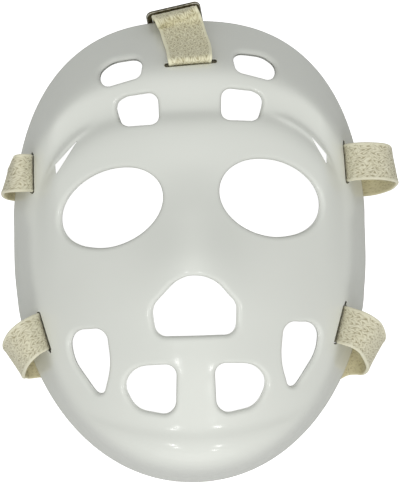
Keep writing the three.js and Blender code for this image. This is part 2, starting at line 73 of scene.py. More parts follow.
BROW_X = 72.0  # where it has dropped that far
BROW_TILT = 0.02  # the moulding sits slightly askew
BROW_STEP = 5.0  # how far the forehead sinks towards the valley over the brow
TEMPLE_STEP = 3.0  # and how much further at the temples
SINK = (4, 34)  # heights over the brow line between which it sinks
TEMPLE = (30, 60)  # distances from the middle over which the temples come in
BROW_END = (70, 84)  # and over which the brow's relief fades out
VALLEY = 2.5  # the valley's height above the brow line, and its roundness
VALLEY_ROUND = 1.1
BROW_OUT = 9.5  # how far the face swells out under the valley
TEMPLE_OUT = 1.0  # and how much further at the temples
SWELL_NEAR = 6.5  # how far down it takes to swell out, and to die away again
SWELL_FAR = 24
BEAD = 2.7  # height of the rolled bead over each temple slit
BEAD_OVER = 3.7  # its middle above the brow line, and its half width
BEAD_WIDE = 1.8
BEAD_START = (41.0, 47.0)  # where it starts on the right and on the left
BEAD_RUN = 14  # how far along it takes to reach its height
BEAD_END = (70, 79)
RIDGE = 4.5  # height of the nose ridge, and its half width
RIDGE_WIDE = 19
RIDGE_TOP = (42, 12)  # heights over which it comes in, from the top and from the foot
RIDGE_FOOT = (-42, -6)

CROWN_W = 24.0  # woven elastic: width of the crown strap and of the two bands
BAND_W = 20.5
STRAP_T = 2.0
GAP = 0.4  # clearance between a strap and what it lies on

SLIDE_W = 30.4  # metal slide, outside width, height and plate thickness
SLIDE_H = 21.0
SLIDE_T = 1.5
SLIDE_BAR = 3.0  # its three cross bars and its two side bars
SLIDE_SIDE = 3.1
SLIDE_AT = (-5.9, 121.3, 18.4)  # its middle, and in degrees how it is turned and tipped
SLIDE_TURN = 12
SLIDE_TIP = 42

# Heights from the crown to the chin, each with how far the middle of the face stands out there
# and how far it falls towards the sides.
SECTIONS = [
    (118, 64, 18), (105, 68, 18), (92, 71.5, 19), (80, 74, 20), (70, 75.5, 21.5), (60, 77.5, 23),
    (45, 81, 25), (25, 85, 27), (5, 88, 28), (-15, 89.5, 28), (-35, 90, 28), (-55, 88.5, 28.5),
    (-72, 86.3, 29), (-80, 85.2, 29.3), (-86, 84.1, 29), (-91, 83, 28.7), (-95, 82, 28.5),
    (-98, 81.7, 28.3), (-102, 82.5, 28), (-107, 82.1, 27.5), (-113, 79.4, 27.2),
    (-119, 75.5, 27), (-128, 69, 25),
]
FRONT, FALL = 1, 2
# Swellings of the face: middle, half width, half height and how far each stands out.
SWELLS = [
    (0, -14, 26, 27, 10),  # nose
    (0, -64, 34, 15, 3),  # mouth
    (40, 20, 26, 18, -2.5),  # eye sockets
    (-40, 20, 26, 18, -2.5),
]
# Rounded outlines of the openings on the right half: corner x, y and radius.
OUTLINES = {
    "nose": [(-19, -47.8, 6), (21, -47.6, 5.5), (21.6, -32.2, 7), (10, -18.3, 16),
             (-6.6, -17.2, 15.5), (-21, -33, 9)],
    "mouth": [(10.5, -62.3, 5.5), (11.4, -89, 6), (31.2, -85.4, 11), (37.5, -72.5, 20),
              (30.3, -63.6, 11)],
    "cheek": [(48, -42.3, 6.5), (66.5, -45, 14), (64.3, -60, 22), (50.5, -79.5, 2.2),
              (45.8, -62.5, 38)],
    "square": [(16.8, 63, 4.5), (36, 62.5, 5), (38.8, 74, 5), (33.5, 77.5, 5.5),
               (17.4, 79.2, 5)],
    "oblong": [(24.4, 95.9, 5), (25.2, 88.4, 5), (44.3, 83.8, 3.5), (46.9, 92, 6),
               (39.4, 97.4, 11), (27, 98.5, 4)],
    "right_slit": [(64.4, 54.9, 0.12), (73.3, 39.4, 0.3), (73.5, 45, 0.5)],
    "left_slit": [(58.4, 54.7, 0.12), (70.9, 36.8, 0.3), (71.6, 42, 0.5)],
}
# Where each opening is cut: its outline, 1 or for a mirror image -1, how far that is moved in x
# and y, and the radius of its rounded outer edge.
OPENINGS = [
    ("nose", 1, 0, 0, 2.5),
    ("mouth", 1, 0, 0, 2.5),
    ("mouth", -1, 0.8, -0.1, 2.5),
    ("cheek", 1, 0, 0, 2.3),
    ("cheek", -1, 1.7, -1.4, 2.3),
    ("square", 1, 0, 0, 2.2),
    ("square", -1, 0.9, -1.7, 2.2),
    ("oblong", 1, 0, 0, 2.0),
    ("oblong", -1, 0, -2.2, 2.0),
    ("right_slit", 1, 0, 0, 0.25),
    ("left_slit", -1, 0, 0, 0.25),
]
# The eyes: middle, half length, half height, tilt in degrees, and the same radius.
EYES = [(41.7, 21.7, 27, 19.3, -17, 2.5), (-41.6, 18.2, 27.5, 18.9, 23, 2.5)]
# The strap slots: how far each runs on past its strap, before and after, and its width there.
SLOTS = [
    ("crown", 1.9, 2.6, 2.5),
    ("upper_right", 0.4, 2.0, 1.3),
    ("upper_left", 0.4, 1.0, 1.1),
    ("lower_right", 0.4, 2.4, 1.2),
    ("lower_left", 1.4, 0.4, 1.1),
]

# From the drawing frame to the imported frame, in metres.
shell_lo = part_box("shell")[0]
SHIFT = np.array([shell_lo.x * 1000 + HALF_W, shell_lo.y * 1000 + DOWN_H - MID_Y, 0.0])


def metres(points):
    return (np.asarray(points, float) + SHIFT) * 0.001


# ---- the face surface ---------------------------------------------------------------------
def smooth(a, b, v):
    t = np.clip((v - a) / (b - a), 0, 1)
    return t * t * (3 - 2 * t)


def section(y, column):
    """A column of SECTIONS at any height, along a smooth curve."""
    ys, vs = np.array(SECTIONS, float)[:, [0, column]].T
    n = len(ys)
    y = np.asarray(y, float)
    i = np.clip(np.searchsorted(-ys, -y, side="right") - 1, 0, n - 2)
    lo = np.maximum(np.arange(n) - 1, 0)
    hi = np.minimum(np.arange(n) + 1, n - 1)
    slope = (vs[lo] - vs[hi]) / (ys[lo] - ys[hi])
    h = ys[i + 1] - ys[i]
    t = (y - ys[i]) / h
    t2, t3 = t * t, t * t * t
    between = ((2 * t3 - 3 * t2 + 1) * vs[i] + (t3 - 2 * t2 + t) * h * slope[i]
               + (3 * t2 - 2 * t3) * vs[i + 1] + (t3 - t2) * h * slope[i + 1])
    above = vs[0] + (y - ys[0]) * (vs[0] - vs[1]) / (ys[0] - ys[1])
    return np.where(y >= ys[0], above, between)


def edge_height(y):
    """Height of the back edge over the ground."""
    up = np.maximum(0, y - FLAT_TOP)
    down = np.maximum(0, FLAT_LOW - y)
    return (STRAP_LIFT * smooth(0, 14, up) + TOP_RISE * (up / TOP_RUN) ** 2
            + STRAP_LIFT * smooth(0, 13, down) + CHIN_RISE * (down / CHIN_RUN) ** 2)


def outline_norm(x, y):
    """1 on the back edge and 0 in the middle, with its gradient and the length of that."""
    v = y - MID_Y
    high = np.where(v >= 0, UP_H, DOWN_H)
    p = np.where(v >= 0, UP_POW, DOWN_POW)
    ax = np.abs(x) / HALF_W
    ay = np.abs(v) / high
    r = np.maximum(1e-6, (ax ** p + ay ** p) ** (1 / p))
    gx = np.sign(x) * r ** (1 - p) * ax ** (p - 1) / HALF_W
    gy = np.sign(v) * r ** (1 - p) * ay ** (p - 1) / high
    return r, gx, gy, np.maximum(1e-9, np.hypot(gx, gy))


def brow_line(x):
    return BROW_Y - BROW_DROP * (np.abs(x) / BROW_X) ** 4 + BROW_TILT * x


def face_height(x, y):
    ax = np.abs(x)
    lift = CHIN_BOW * (ax / FALL_X) ** 2 * smooth(-60, -92, y)
    across = ((x * x + CENTRE ** 2) ** (FALL_POW / 2) - CENTRE ** FALL_POW) \
        / ((FALL_X ** 2 + CENTRE ** 2) ** (FALL_POW / 2) - CENTRE ** FALL_POW)
    z = section(y - lift, FRONT) - section(y - lift, FALL) * across
    # The forehead sinks towards a valley over the brow, and the face swells out from it.
    over = y - brow_line(x)
    wide = 1 - smooth(*BROW_END, ax)
    temple = smooth(*TEMPLE, ax)
    z = z + (BROW_STEP + TEMPLE_STEP * temple) * wide * smooth(*SINK, over)
    down = VALLEY_ROUND * np.log1p(np.exp(np.clip((VALLEY - over) / VALLEY_ROUND, -60, 60)))
    out = BROW_OUT + TEMPLE_OUT * temple
    z = z + out * wide * (1 - np.exp(-down / SWELL_NEAR)) * np.exp(-down / SWELL_FAR)
    start = np.where(x > 0, *BEAD_START)
    along = smooth(0, BEAD_RUN, ax - start) * (1 - smooth(*BEAD_END, ax))
    z = z + BEAD * along * np.exp(-(((over - BEAD_OVER) / BEAD_WIDE) ** 2))
    ridge = RIDGE * np.exp(-((x / RIDGE_WIDE) ** 2))
    z = z + ridge * smooth(*RIDGE_TOP, y) * smooth(*RIDGE_FOOT, y)
    for mx, my, w, h, out in SWELLS:
        z = z + out * np.exp(-(((x - mx) / w) ** 2) - ((y - my) / h) ** 2)
    return z


def side_wall(x, y):
    """Its height, its slope and the softness of the fold at its top."""
    r, _, gy, g = outline_norm(x, y)
    ny = gy / g
    slope = (SIDE_SLOPE + (CHIN_SLOPE - SIDE_SLOPE) * smooth(0.3, 0.95, -ny)
             + (CROWN_SLOPE - SIDE_SLOPE) * smooth(0.3, 0.95, ny))
    k = SIDE_FOLD + CROWN_FOLD * smooth(0.2, 0.9, ny) + CHIN_FOLD * smooth(0.3, 0.9, -ny)
    return edge_height(y) + slope * (1 - r) / g, slope, k


def soft_min(a, b, k):
    m = np.minimum(a, b)
    return m - k * np.log(np.exp((m - a) / k) + np.exp((m - b) / k))


def skin_height(x, y):
    w, _, k = side_wall(x, y)
    return soft_min(w, face_height(x, y), k)


STEEPEST = 1.5  # square of the face's slope past which the wall isn't measured any deeper


def inner_height(x, y, e=0.8):
    w, slope, k = side_wall(x, y)
    fx = (face_height(x + e, y) - face_height(x - e, y)) / (2 * e)
    fy = (face_height(x, y + e) - face_height(x, y - e)) / (2 * e)
    f = face_height(x, y) - WALL * np.sqrt(1 + np.minimum(fx * fx + fy * fy, STEEPEST))
    return soft_min(w - WALL * np.sqrt(1 + slope * slope), f, k)


def skin_normal(x, y, e=0.6):
    dx = (skin_height(x + e, y) - skin_height(x - e, y)) / (2 * e)
    dy = (skin_height(x, y + e) - skin_height(x, y - e)) / (2 * e)
    n = np.stack([-dx, -dy, np.ones_like(dx)], -1)
    return n / np.linalg.norm(n, axis=-1, keepdims=True)


def off_skin(x, y, out):
    """The point out from the skin along its normal."""
    x, y = np.float64(x), np.float64(y)
    n = skin_normal(x, y) * out
    return float(x + n[0]), float(y + n[1]), float(skin_height(x, y) + n[2])


# ---- flat outlines ------------------------------------------------------------------------
def filleted(corners, steps):
    """A closed outline from corners with radii; no rounding takes up half a side."""
    out = []
    n = len(corners)
    for i, (cx, cy, cr) in enumerate(corners):
        b = Vector((cx, cy))
        u = Vector(corners[i - 1][:2]) - b
        v = Vector(corners[(i + 1) % n][:2]) - b
        lu, lv = u.length, v.length
        u, v = u / lu, v / lv
        half = math.acos(max(-1, min(1, u.dot(v)))) / 2
        t = min(cr / math.tan(half), 0.49 * lu, 0.49 * lv)
        r = t * math.tan(half)
        o = b + (u + v).normalized() * (r / math.sin(half))
        p, q = b + u * t - o, b + v * t - o
        a0 = math.atan2(p.y, p.x)
        da = math.atan2(q.y, q.x) - a0
        da = (da + math.pi) % (2 * math.pi) - math.pi
        for s in range(steps + 1):
            a = a0 + da * s / steps
            out.append((o.x + r * math.cos(a), o.y + r * math.sin(a)))
    return np.array(out)


def even(loop, spacing):
    """The closed loop again, with points an even distance apart and running anticlockwise."""
    x, y = loop[:, 0], loop[:, 1]
    if np.sum(x * np.roll(y, -1) - np.roll(x, -1) * y) < 0:
        loop = loop[::-1]
    ring = np.vstack([loop, loop[:1]])
    s = np.concatenate([[0], np.cumsum(np.linalg.norm(np.diff(ring, axis=0), axis=1))])
    count = max(12, int(round(s[-1] / spacing)))
    t = np.arange(count) * s[-1] / count
    return np.stack([np.interp(t, s, ring[:, 0]), np.interp(t, s, ring[:, 1])], -1)


def outward(loop):
    """Unit vectors out of an anticlockwise loop."""
    t = np.roll(loop, -1, 0) - np.roll(loop, 1, 0)
    n = np.stack([t[:, 1], -t[:, 0]], -1)
    return n / np.linalg.norm(n, axis=1, keepdims=True)


def blur(values, times):
    for _ in range(times):
        values = 0.25 * np.roll(values, 1, 0) + 0.5 * values + 0.25 * np.roll(values, -1, 0)
    return values


def inside(points, loop):
    x, y = points[:, 0], points[:, 1]
    hit = np.zeros(len(points), bool)
    for (x0, y0), (x1, y1) in zip(loop, np.roll(loop, -1, 0)):
        if y0 == y1:
            continue
        cross = (y0 > y) != (y1 > y)
        hit ^= cross & (x < (x1 - x0) * (y - y0) / (y1 - y0) + x0)
    return hit


CHUNK = 4000  # points measured at a time


def distance(points, loop):
    """From each point to the loop."""
    a, b = loop, np.roll(loop, -1, 0)
    d = b - a
    dd = np.sum(d * d, 1)
    best = np.full(len(points), 1e9)
    for i in range(0, len(points), CHUNK):
        p = points[i:i + CHUNK, None, :] - a[None]
        t = np.clip(np.sum(p * d[None], 2) / dd, 0, 1)
        best[i:i + CHUNK] = np.linalg.norm(p - t[..., None] * d[None], axis=2).min(1)
    return best


def triangulate(points, loops):
    """Triangles between the first loop (the outside) and the other loops (the holes)."""
    edges = [(int(a), int(b)) for loop in loops for a, b in zip(loop, np.roll(loop, -1))]
    result = delaunay_2d_cdt([Vector(p) for p in points], edges, [], 0, 1e-7, True)
    verts, faces, origin = result[0], result[2], result[3]
    back = [o[0] for o in origin]
    tri = np.array([[back[i] for i in f] for f in faces])
    middle = points[tri].mean(1)
    keep = inside(middle, points[loops[0]])
    for loop in loops[1:]:
        keep &= ~inside(middle, points[loop])
    tri = tri[keep]
    a, b, c = (points[tri[:, k]] for k in range(3))
    area = (b[:, 0] - a[:, 0]) * (c[:, 1] - a[:, 1]) - (b[:, 1] - a[:, 1]) * (c[:, 0] - a[:, 0])
    tri[area < 0] = tri[area < 0][:, ::-1]
    return tri


def make_object(name, verts, faces, uv=None):
    mesh = bpy.data.meshes.new(name)
    mesh.from_pydata([tuple(v) for v in verts], [], [tuple(int(i) for i in f) for f in faces])
    mesh.polygons.foreach_set("use_smooth", [True] * len(mesh.polygons))
    if uv is not None:
        layer = mesh.uv_layers.new(name="UVMap")
        loops = np.zeros(len(mesh.loops), np.int32)
        mesh.loops.foreach_get("vertex_index", loops)
        layer.data.foreach_set("uv", uv[loops].astype(np.float32).ravel())
    mesh.validate()
    mesh.update()
    obj = bpy.data.objects.new(name, mesh)
    bpy.context.scene.collection.objects.link(obj)
    return obj


# ---- shell --------------------------------------------------------------------------------
# How far out from an opening's edge its rounding is sampled, as angles of the quarter circle.
ROUND_STEPS = [90, 68, 47, 28, 12, 0]
# Spacing of the mesh points: round the openings, the slits, the slots and the back edge, and
# over the face.
OPENING_STEP = 0.9
SLIT_STEP = 0.4
SLOT_STEP = 0.5
RIM_STEP = 1.7
FACE_STEP = 2.0
WALL_STEP = 0.62  # between the rings of the side wall, and between its topmost ones
WALL_TOP_STEP = 1.0
WALL_RUN = 23  # how far in from the back edge the rings go
BROW_ROW = 0.8  # between the rows along the brow, and along each of them
BROW_ALONG = 1.5

CLEAR = 0.55  # how far the points over the face keep from those round an opening

SLOT_EDGE = 0.35  # radius of a slot's outer edge
INNER_EDGE = 0.45  # radius of every opening's edge on the inside
SNUG = 0.12  # room round a strap where it goes through the wall
POCKET = 0.62  # how deep a slot's blind ends are, as a share of the wall
POCKET_IN = 0.12  # how far their floor keeps inside the slot's edge


def opening_outline(outline, mirror, dx, dy):
    corners = [(x * mirror + dx, y + dy, r) for x, y, r in OUTLINES[outline]]
    if mirror < 0:
        corners.reverse()
    return filleted(corners, 10)


def turned(x, y, t, u, v):
    return x + u * math.cos(t) - v * math.sin(t), y + u * math.sin(t) + v * math.cos(t)


def eye_outline(x, y, long, short, tilt):
    a = np.linspace(0, 2 * np.pi, 160, endpoint=False)
    return np.stack(turned(x, y, math.radians(tilt), long * np.cos(a), short * np.sin(a)), -1)


def slot_place(name):
    """Where a strap comes through: x, y, heading and half its width."""
    stations, at, width = STRAP_AT[name]
    x, y, _, turn, _ = stations[at]
    return x, y, math.radians(turn), width / 2


def slot_outline(at, past=None):
    """Round the strap, and past one or both of its edges; without past, the strap alone."""
    x, y, t, half = at
    if past is None:
        a, w = half + SNUG, STRAP_T / 2 + SNUG
        flat = [(-a, -w, 0.6), (a, -w, 0.6), (a, w, 0.6), (-a, w, 0.6)]
    else:
        before, after, wide = past
        e = wide / 2
        a, w = half + 0.3, max(STRAP_T / 2 + 0.1, e + 0.06)
        start, end, r = -(a + before), a + after, e * 0.9
        flat = [(start, -e, r), (-a, -e, 0.2), (-a, -w, 0.5), (a, -w, 0.5), (a, -e, 0.2),
                (end, -e, r), (end, e, r), (a, e, 0.2), (a, w, 0.5), (-a, w, 0.5),
                (-a, e, 0.2), (start, e, r)]
    return filleted([(*turned(x, y, t, u, v), r) for u, v, r in flat], 5)


def shell_mesh():
    points, drop, rise, straight = [], [], [], []

    def lay_points(new, down=0.0, up=0.0, cut=0.0):
        """Takes points in and returns their numbers. down and up: how far their outer and inner
        ends are rounded away. cut: 1 where the wall is cut straight down."""
        first = sum(len(p) for p in points)
        points.append(new)
        for column, value in ((drop, down), (rise, up), (straight, cut)):
            column.append(np.full(len(new), value))
        return np.arange(first, first + len(new))

    # Outer boundary and the rings of the side wall.
    angles = np.linspace(0, 2 * np.pi, 380, endpoint=False)
    unit = outline_norm(np.cos(angles), MID_Y + np.sin(angles))[0]
    rim = np.stack([np.cos(angles) / unit, MID_Y + np.sin(angles) / unit], -1)
    rim = even(rim, RIM_STEP)
    _, gx, gy, g = outline_norm(rim[:, 0], rim[:, 1])
    inward = -np.stack([gx / g, gy / g], -1)
    steps = [0.2, 0.7]
    while steps[-1] < WALL_RUN:
        steps.append(steps[-1] + (WALL_STEP if steps[-1] < WALL_RUN - 2 else WALL_TOP_STEP))
    rings = [rim + inward * d for d in steps[1:]]
    count = len(rim)
    loops = [lay_points(rim + inward * steps[0])]

    # Openings: loops of points round each edge. upright: cut straight down through the wall.
    # A slot is cut through only as wide as its strap: past it, each end is a blind pocket.
    holes = []
    for *shape, edge in OPENINGS:
        slit = "slit" in shape[0]
        line = even(opening_outline(*shape), SLIT_STEP if slit else OPENING_STEP)
        holes.append(dict(line=line, edge=edge, upright=slit, through=None))
    for *shape, edge in EYES:
        line = even(eye_outline(*shape), OPENING_STEP)
        holes.append(dict(line=line, edge=edge, upright=False, through=None))
    for name, *past in SLOTS:
        at = slot_place(name)
        line, through = (even(slot_outline(at, to), SLOT_STEP) for to in (past, None))
        holes.append(dict(line=line, edge=SLOT_EDGE, upright=True, through=through))
    pocket = []
    for h in holes:
        line = h["line"]
        m = outward(line)
        if not h["upright"]:
            # Where the skin leans outward, the edge lies further out, so that the inner side of
            # the opening meets its outline.
            n = skin_normal(line[:, 0], line[:, 1])
            lean = np.maximum(0, np.sum(n[:, :2] * m, 1))
            line = line + m * blur(WALL * lean, 6)[:, None]
            m = outward(line)
        h["edge_line"] = line
        radius = h["edge"]
        far = radius * 1.5
        for step in ROUND_STEPS + [None]:
            if step is None:
                d, down = far, 0.0
            else:
                a = math.radians(step)
                d, down = radius * (1 - math.sin(a)), radius * (1 - math.cos(a))
            up = INNER_EDGE - math.sqrt(max(0.0, INNER_EDGE ** 2 - max(0.0, INNER_EDGE - d) ** 2))
            ring = lay_points(line + m * d, down, up if d < INNER_EDGE else 0.0,
                              1.0 if h["upright"] else 0.0)
            if step == ROUND_STEPS[0] and h["through"] is None:
                loops.append(ring)
        h["clear"] = far + CLEAR
        if h["through"] is not None:
            pocket.append(lay_points(line - m * POCKET_IN, cut=1.0))
            pocket.append(lay_points(h["through"], cut=1.0))
            loops.append(pocket[-1])

    # Free points: rings along the side wall, rows along the brow, a hexagonal field elsewhere.
    rows = []
    for over in np.arange(-4.8, 8.4, BROW_ROW):
        odd = round(over / BROW_ROW) % 2
        x = np.arange(-84, 84, BROW_ALONG) + (BROW_ALONG / 2 if odd else 0)
        rows.append(np.stack([x, brow_line(x) + over], -1))
    hexes = []
    for j, y in enumerate(np.arange(-125, 118, FACE_STEP * 0.866)):
        x = np.arange(-90, 90, FACE_STEP) + (FACE_STEP / 2 if j % 2 else 0)
        hexes.append(np.stack([x, np.full_like(x, y)], -1))
    hexes = np.concatenate(hexes)
    over = hexes[:, 1] - brow_line(hexes[:, 0])
    hexes = hexes[(over < -5.6) | (over > 9.0)]
    free = [np.concatenate(rings)]
    for field in (np.concatenate(rows), hexes):
        r, _, _, g = outline_norm(field[:, 0], field[:, 1])
        free.append(field[(1 - r) / g > steps[-1] + 0.9])
    free = np.concatenate(free)
    for h in holes:
        free = free[(distance(free, h["edge_line"]) > h["clear"]) & ~inside(free, h["edge_line"])]
    lay_points(free)
    xy, drop, rise, straight = (np.concatenate(c) for c in (points, drop, rise, straight))
    tri = triangulate(xy, loops)

    # Heights. The inner side lies straight under the outer one near a slot, level with it at
    # the back edge, and square to the skin elsewhere.
    x, y = xy[:, 0], xy[:, 1]
    z = skin_height(x, y)
    n = skin_normal(x, y)
    outer = np.stack([x, y, z], -1) - n * drop[:, None]
    pocket = np.concatenate(pocket)
    floor_z = inner_height(x[pocket], y[pocket])
    outer[pocket, 2] = z[pocket] - POCKET * (z[pocket] - floor_z)
    for h in holes:
        if h["upright"]:
            near = distance(xy, h["edge_line"])
            straight = np.maximum(straight, 1 - smooth(0.8, 6.5, near))
    flat = np.sum(n[:, :2] ** 2, 1)
    foot = 1 - smooth(0.5, 12, z - edge_height(y))
    foot = np.where(flat > 0.5, foot, 0)
    reach = WALL * (1 - straight) * (1 + foot * (1 / np.maximum(flat, 0.5) - 1))
    shift = -n[:, :2] * reach[:, None]
    ix, iy = x + shift[:, 0], y + shift[:, 1]
    inner = np.stack([ix, iy, inner_height(ix, iy)], -1) + n * rise[:, None]
    total = len(xy)
    verts = [outer, inner]
    faces = [tri, tri[:, ::-1] + total]
    for loop in loops[1:]:
        a, b = loop, np.roll(loop, -1)
        faces.append(np.stack([b, a, a + total], -1))
        faces.append(np.stack([b, a + total, b + total], -1))
    blind = np.zeros(total, bool)
    blind[pocket] = True

    # The back edge: rounded outside and inside, flat between.
    a, b = outer[:count], inner[:count]
    across = b - a
    across[:, 2] = 0
    across /= np.linalg.norm(across, axis=1, keepdims=True)
    ground = edge_height(rim[:, 1])
    lines = [np.arange(count)]
    start = 2 * total
    for side, far, up in ((a, 0.12, 0.2), (a, 0.55, 0.0), (b, -0.55, 0.0), (b, -0.12, 0.2)):
        row = side + across * far
        row[:, 2] = ground + up
        verts.append(row)
        lines.append(np.arange(start, start + count))
        start += count
    lines.append(np.arange(total, total + count))
    for p, q in zip(lines, lines[1:]):
        faces.append(np.stack([p, np.roll(q, -1), np.roll(p, -1)], -1))
        faces.append(np.stack([p, q, np.roll(q, -1)], -1))
    verts, faces = np.concatenate(verts), np.concatenate(faces)
    # The floors of the slots' blind ends take the second material, a painted shade.
    outside = np.all(faces < total, 1)
    which = (outside & (blind[np.minimum(faces, total - 1)].sum(1) >= 2)).astype(int)
    return verts, faces, which


# ---- straps -------------------------------------------------------------------------------
def catmull(a, b, c, d, t):
    """A smooth curve through stations, from b to c."""
    return 0.5 * (2 * b + (c - a) * t + (2 * a - 5 * b + 4 * c - d) * t * t
                  + (3 * b - a - 3 * c + d) * t * t * t)


WEAVE_COLUMN = 2.1  # width of one column of the zigzag
WEAVE_ROW = 3.0  # from strand to strand along the strap
WEAVE_RISE = 1.5  # rows that a strand climbs as it crosses its column
WEAVE_DEEP = 0.46  # relief of the weave
BETWEEN = 0.30  # how deep it goes between the strands, as a share of its pits
BACK_SHARE = 0.45  # relief of the inner face, as a share of the outer one's
SELVEDGE = 1.5  # width of the plain cord along each edge
CORD = 0.16  # how far it stands up, where its middle lies, and its half width
CORD_IN = 1.35
CORD_WIDE = 0.75
EDGE_R = 0.55  # radius of each edge
SHOWN_STEP = 0.42  # from row to row of the mesh where the weave shows, and where it doesn't
HIDDEN_STEP = 1.3


class Wave:
    """Arithmetic on shader sockets, so that one formula shapes the mesh and its colour."""

    def __init__(self, tree, socket):
        self.tree, self.socket = tree, socket

    def op(self, kind, *others):
        node = self.tree.nodes.new("ShaderNodeMath")
        node.operation = kind
        for i, value in enumerate((self, *others)):
            if isinstance(value, Wave):
                self.tree.links.new(value.socket, node.inputs[i])
            else:
                node.inputs[i].default_value = value
        return Wave(self.tree, node.outputs[0])

    def __add__(self, other):
        return self.op("ADD", other)

    def __sub__(self, other):
        return self.op("SUBTRACT", other)

    def __mul__(self, other):
        return self.op("MULTIPLY", other)

    def __rsub__(self, other):
        return (self * -1.0) + other

    __radd__ = __add__
    __rmul__ = __mul__


def apply(kind, plain, x, *more):
    return x.op(kind, *more) if isinstance(x, Wave) else plain(x, *more)


def sine(x):
    return apply("SINE", np.sin, x)


def fract(x):
    return apply("FRACT", lambda v: v - np.floor(v), x)


def weave(u, v):
    """Zigzag strands: their height from 0 to 1, and the pits where they turn back."""
    # Columns and rows wander a little, and no two pits or strands are quite alike.
    across = u + 0.42 * sine(0.71 * v + 0.9 * sine(0.53 * u)) + 0.25 * sine(1.63 * v - 0.8 * u)
    along = v + 0.55 * sine(0.83 * u + 0.31 * v) + 0.45 * sine(1.9 * u - 0.47 * v + 1.0)
    column = across * (1 / WEAVE_COLUMN) + 40.0
    zig = apply("ABSOLUTE", np.abs, fract(column * 0.5) * 2.0 - 1.0)
    phase = along * (1 / WEAVE_ROW) + zig * WEAVE_RISE + 40.0
    strand = 0.5 * sine(2 * math.pi * phase) + 0.5
    off = apply("ABSOLUTE", np.abs, fract(column + 0.5) - 0.5) * WEAVE_COLUMN
    turn = apply("MAXIMUM", np.maximum, 1.0 - off * 1.25, 0.0)
    near, row = column + 0.5, phase + 0.25
    near, row = near - fract(near), row - fract(row)
    pick = fract(0.7549 * near + 0.5698 * row)
    pit = turn * (1.0 - strand) * apply("MAXIMUM", np.maximum, pick * 1.7 - 0.5, 0.0)
    return strand * (0.65 + 0.35 * fract(0.618 * row + 0.31 * near)), pit


def strap_mesh(stations, width, fine, outer, pinch):
    """fine: station ranges that show. outer: which face looks out, 1 or -1.
    pinch: (station, spread, share of the width, which edge stays: 1 far, -1 near)."""
    st = np.array(stations, float)
    n = len(st)
    rows, show, where = [], [], []
    for i in range(n - 1):
        a, b, c, d = (st[max(0, min(n - 1, k))] for k in (i - 1, i, i + 1, i + 2))
        span = np.linalg.norm(c[:3] - b[:3])
        shown = any(lo <= i < hi for lo, hi in fine)
        step = (SHOWN_STEP if shown else HIDDEN_STEP) * 1.0
        count = max(2, int(round(span / step)))
        for t in np.arange(count) / count:
            rows.append(catmull(a, b, c, d, t))
            show.append(1.0 if shown else 0.0)
            where.append(i + t)
    rows.append(st[-1])
    show.append(0.0)
    where.append(n - 1.0)
    rows, show, where = np.array(rows), np.array(show), np.array(where)
    # The relief fades out over a few rows.
    for _ in range(12):
        around = np.pad(show, 1, mode="edge")
        show = np.minimum(show, np.convolve(around, [0.25, 0.5, 0.25], "valid"))
    p = rows[:, :3]
    along = np.empty_like(p)
    along[1:-1] = p[2:] - p[:-2]
    along[0], along[-1] = p[1] - p[0], p[-1] - p[-2]
    along /= np.linalg.norm(along, axis=1, keepdims=True)
    heading, lean = np.radians(rows[:, 3]), np.radians(rows[:, 4])
    wide = np.stack([np.cos(heading) * np.cos(lean), np.sin(heading) * np.cos(lean),
                     np.sin(lean)], -1)
    wide -= along * np.sum(wide * along, 1, keepdims=True)
    wide /= np.linalg.norm(wide, axis=1, keepdims=True)
    thick = np.cross(along, wide)
    length = np.concatenate([[0], np.cumsum(np.linalg.norm(np.diff(p, axis=0), axis=1))])

    # Section: both faces, joined by rounded selvedges.
    half, t = width / 2, STRAP_T / 2
    across = 58
    u = np.linspace(-half + EDGE_R, half - EDGE_R, across)
    turn = np.radians([54, 18, -18, -54])
    section_u = np.concatenate([u, half - EDGE_R + EDGE_R * np.cos(turn),
                                u[::-1], -half + EDGE_R - EDGE_R * np.cos(turn)])
    section_t = np.concatenate([np.full(across, 1.0), np.sin(turn),
                                np.full(across, -1.0), -np.sin(turn)])
    ring = len(section_u)
    grow = np.ones(len(rows))
    slip = np.zeros(len(rows))
    for at, spread, share, keep in pinch:
        lost = (1 - share) * np.exp(-(((where - at) / spread) ** 2))
        grow *= 1 - lost
        slip += keep * half * lost
    uu = np.broadcast_to(section_u, (len(rows), ring))
    vv = np.broadcast_to(length[:, None], (len(rows), ring))
    strand, pit = weave(uu, vv)
    low = BETWEEN * (1 - strand) + pit
    # The cord along each selvedge stays round and full, and the inner face is flatter.
    low = low * smooth(SELVEDGE - 0.9, SELVEDGE + 0.5, half - np.abs(uu))
    low = low * np.where(section_t * outer < 0, BACK_SHARE, 1.0)
    cord = CORD * np.exp(-(((half - np.abs(uu) - CORD_IN) / CORD_WIDE) ** 2))
    depth = t - WEAVE_DEEP * low * show[:, None] * np.abs(section_t) + cord - CORD
    verts = (p[:, None, :] + wide[:, None, :] * (uu * grow[:, None] + slip[:, None])[..., None]
             + thick[:, None, :] * (depth * section_t)[..., None])
    index = np.arange(len(rows) * ring).reshape(len(rows), ring)
    a, b = index[:-1], index[1:]
    faces = np.stack([a, np.roll(a, -1, 1), np.roll(b, -1, 1), b], -1).reshape(-1, 4)
    # Uncut ends are closed by a fan.
    verts = verts.reshape(-1, 3)
    ends = []
    for line in (index[0], index[-1][::-1]):
        middle = len(verts)
        verts = np.vstack([verts, verts[line].mean(0)])
        ends.append(np.stack([np.full(ring, middle), np.roll(line, -1), line], -1))
    uv = np.stack([uu.ravel() * 0.001, vv.ravel() * 0.001], -1)
    uv = np.vstack([uv, [[0, 0], [0, length[-1] * 0.001]]])
    # The faces of the inner side take the second material.
    side = np.where(section_t * outer < -0.5, 1, 0)
    inner = np.tile(np.minimum(side, np.roll(side, -1)), len(rows) - 1)
    faces = [tuple(f) for f in faces] + [tuple(f) for e in ends for f in e]
    inner = list(inner) + [0] * (len(faces) - len(inner))
    return verts, faces, uv, length[-1], inner


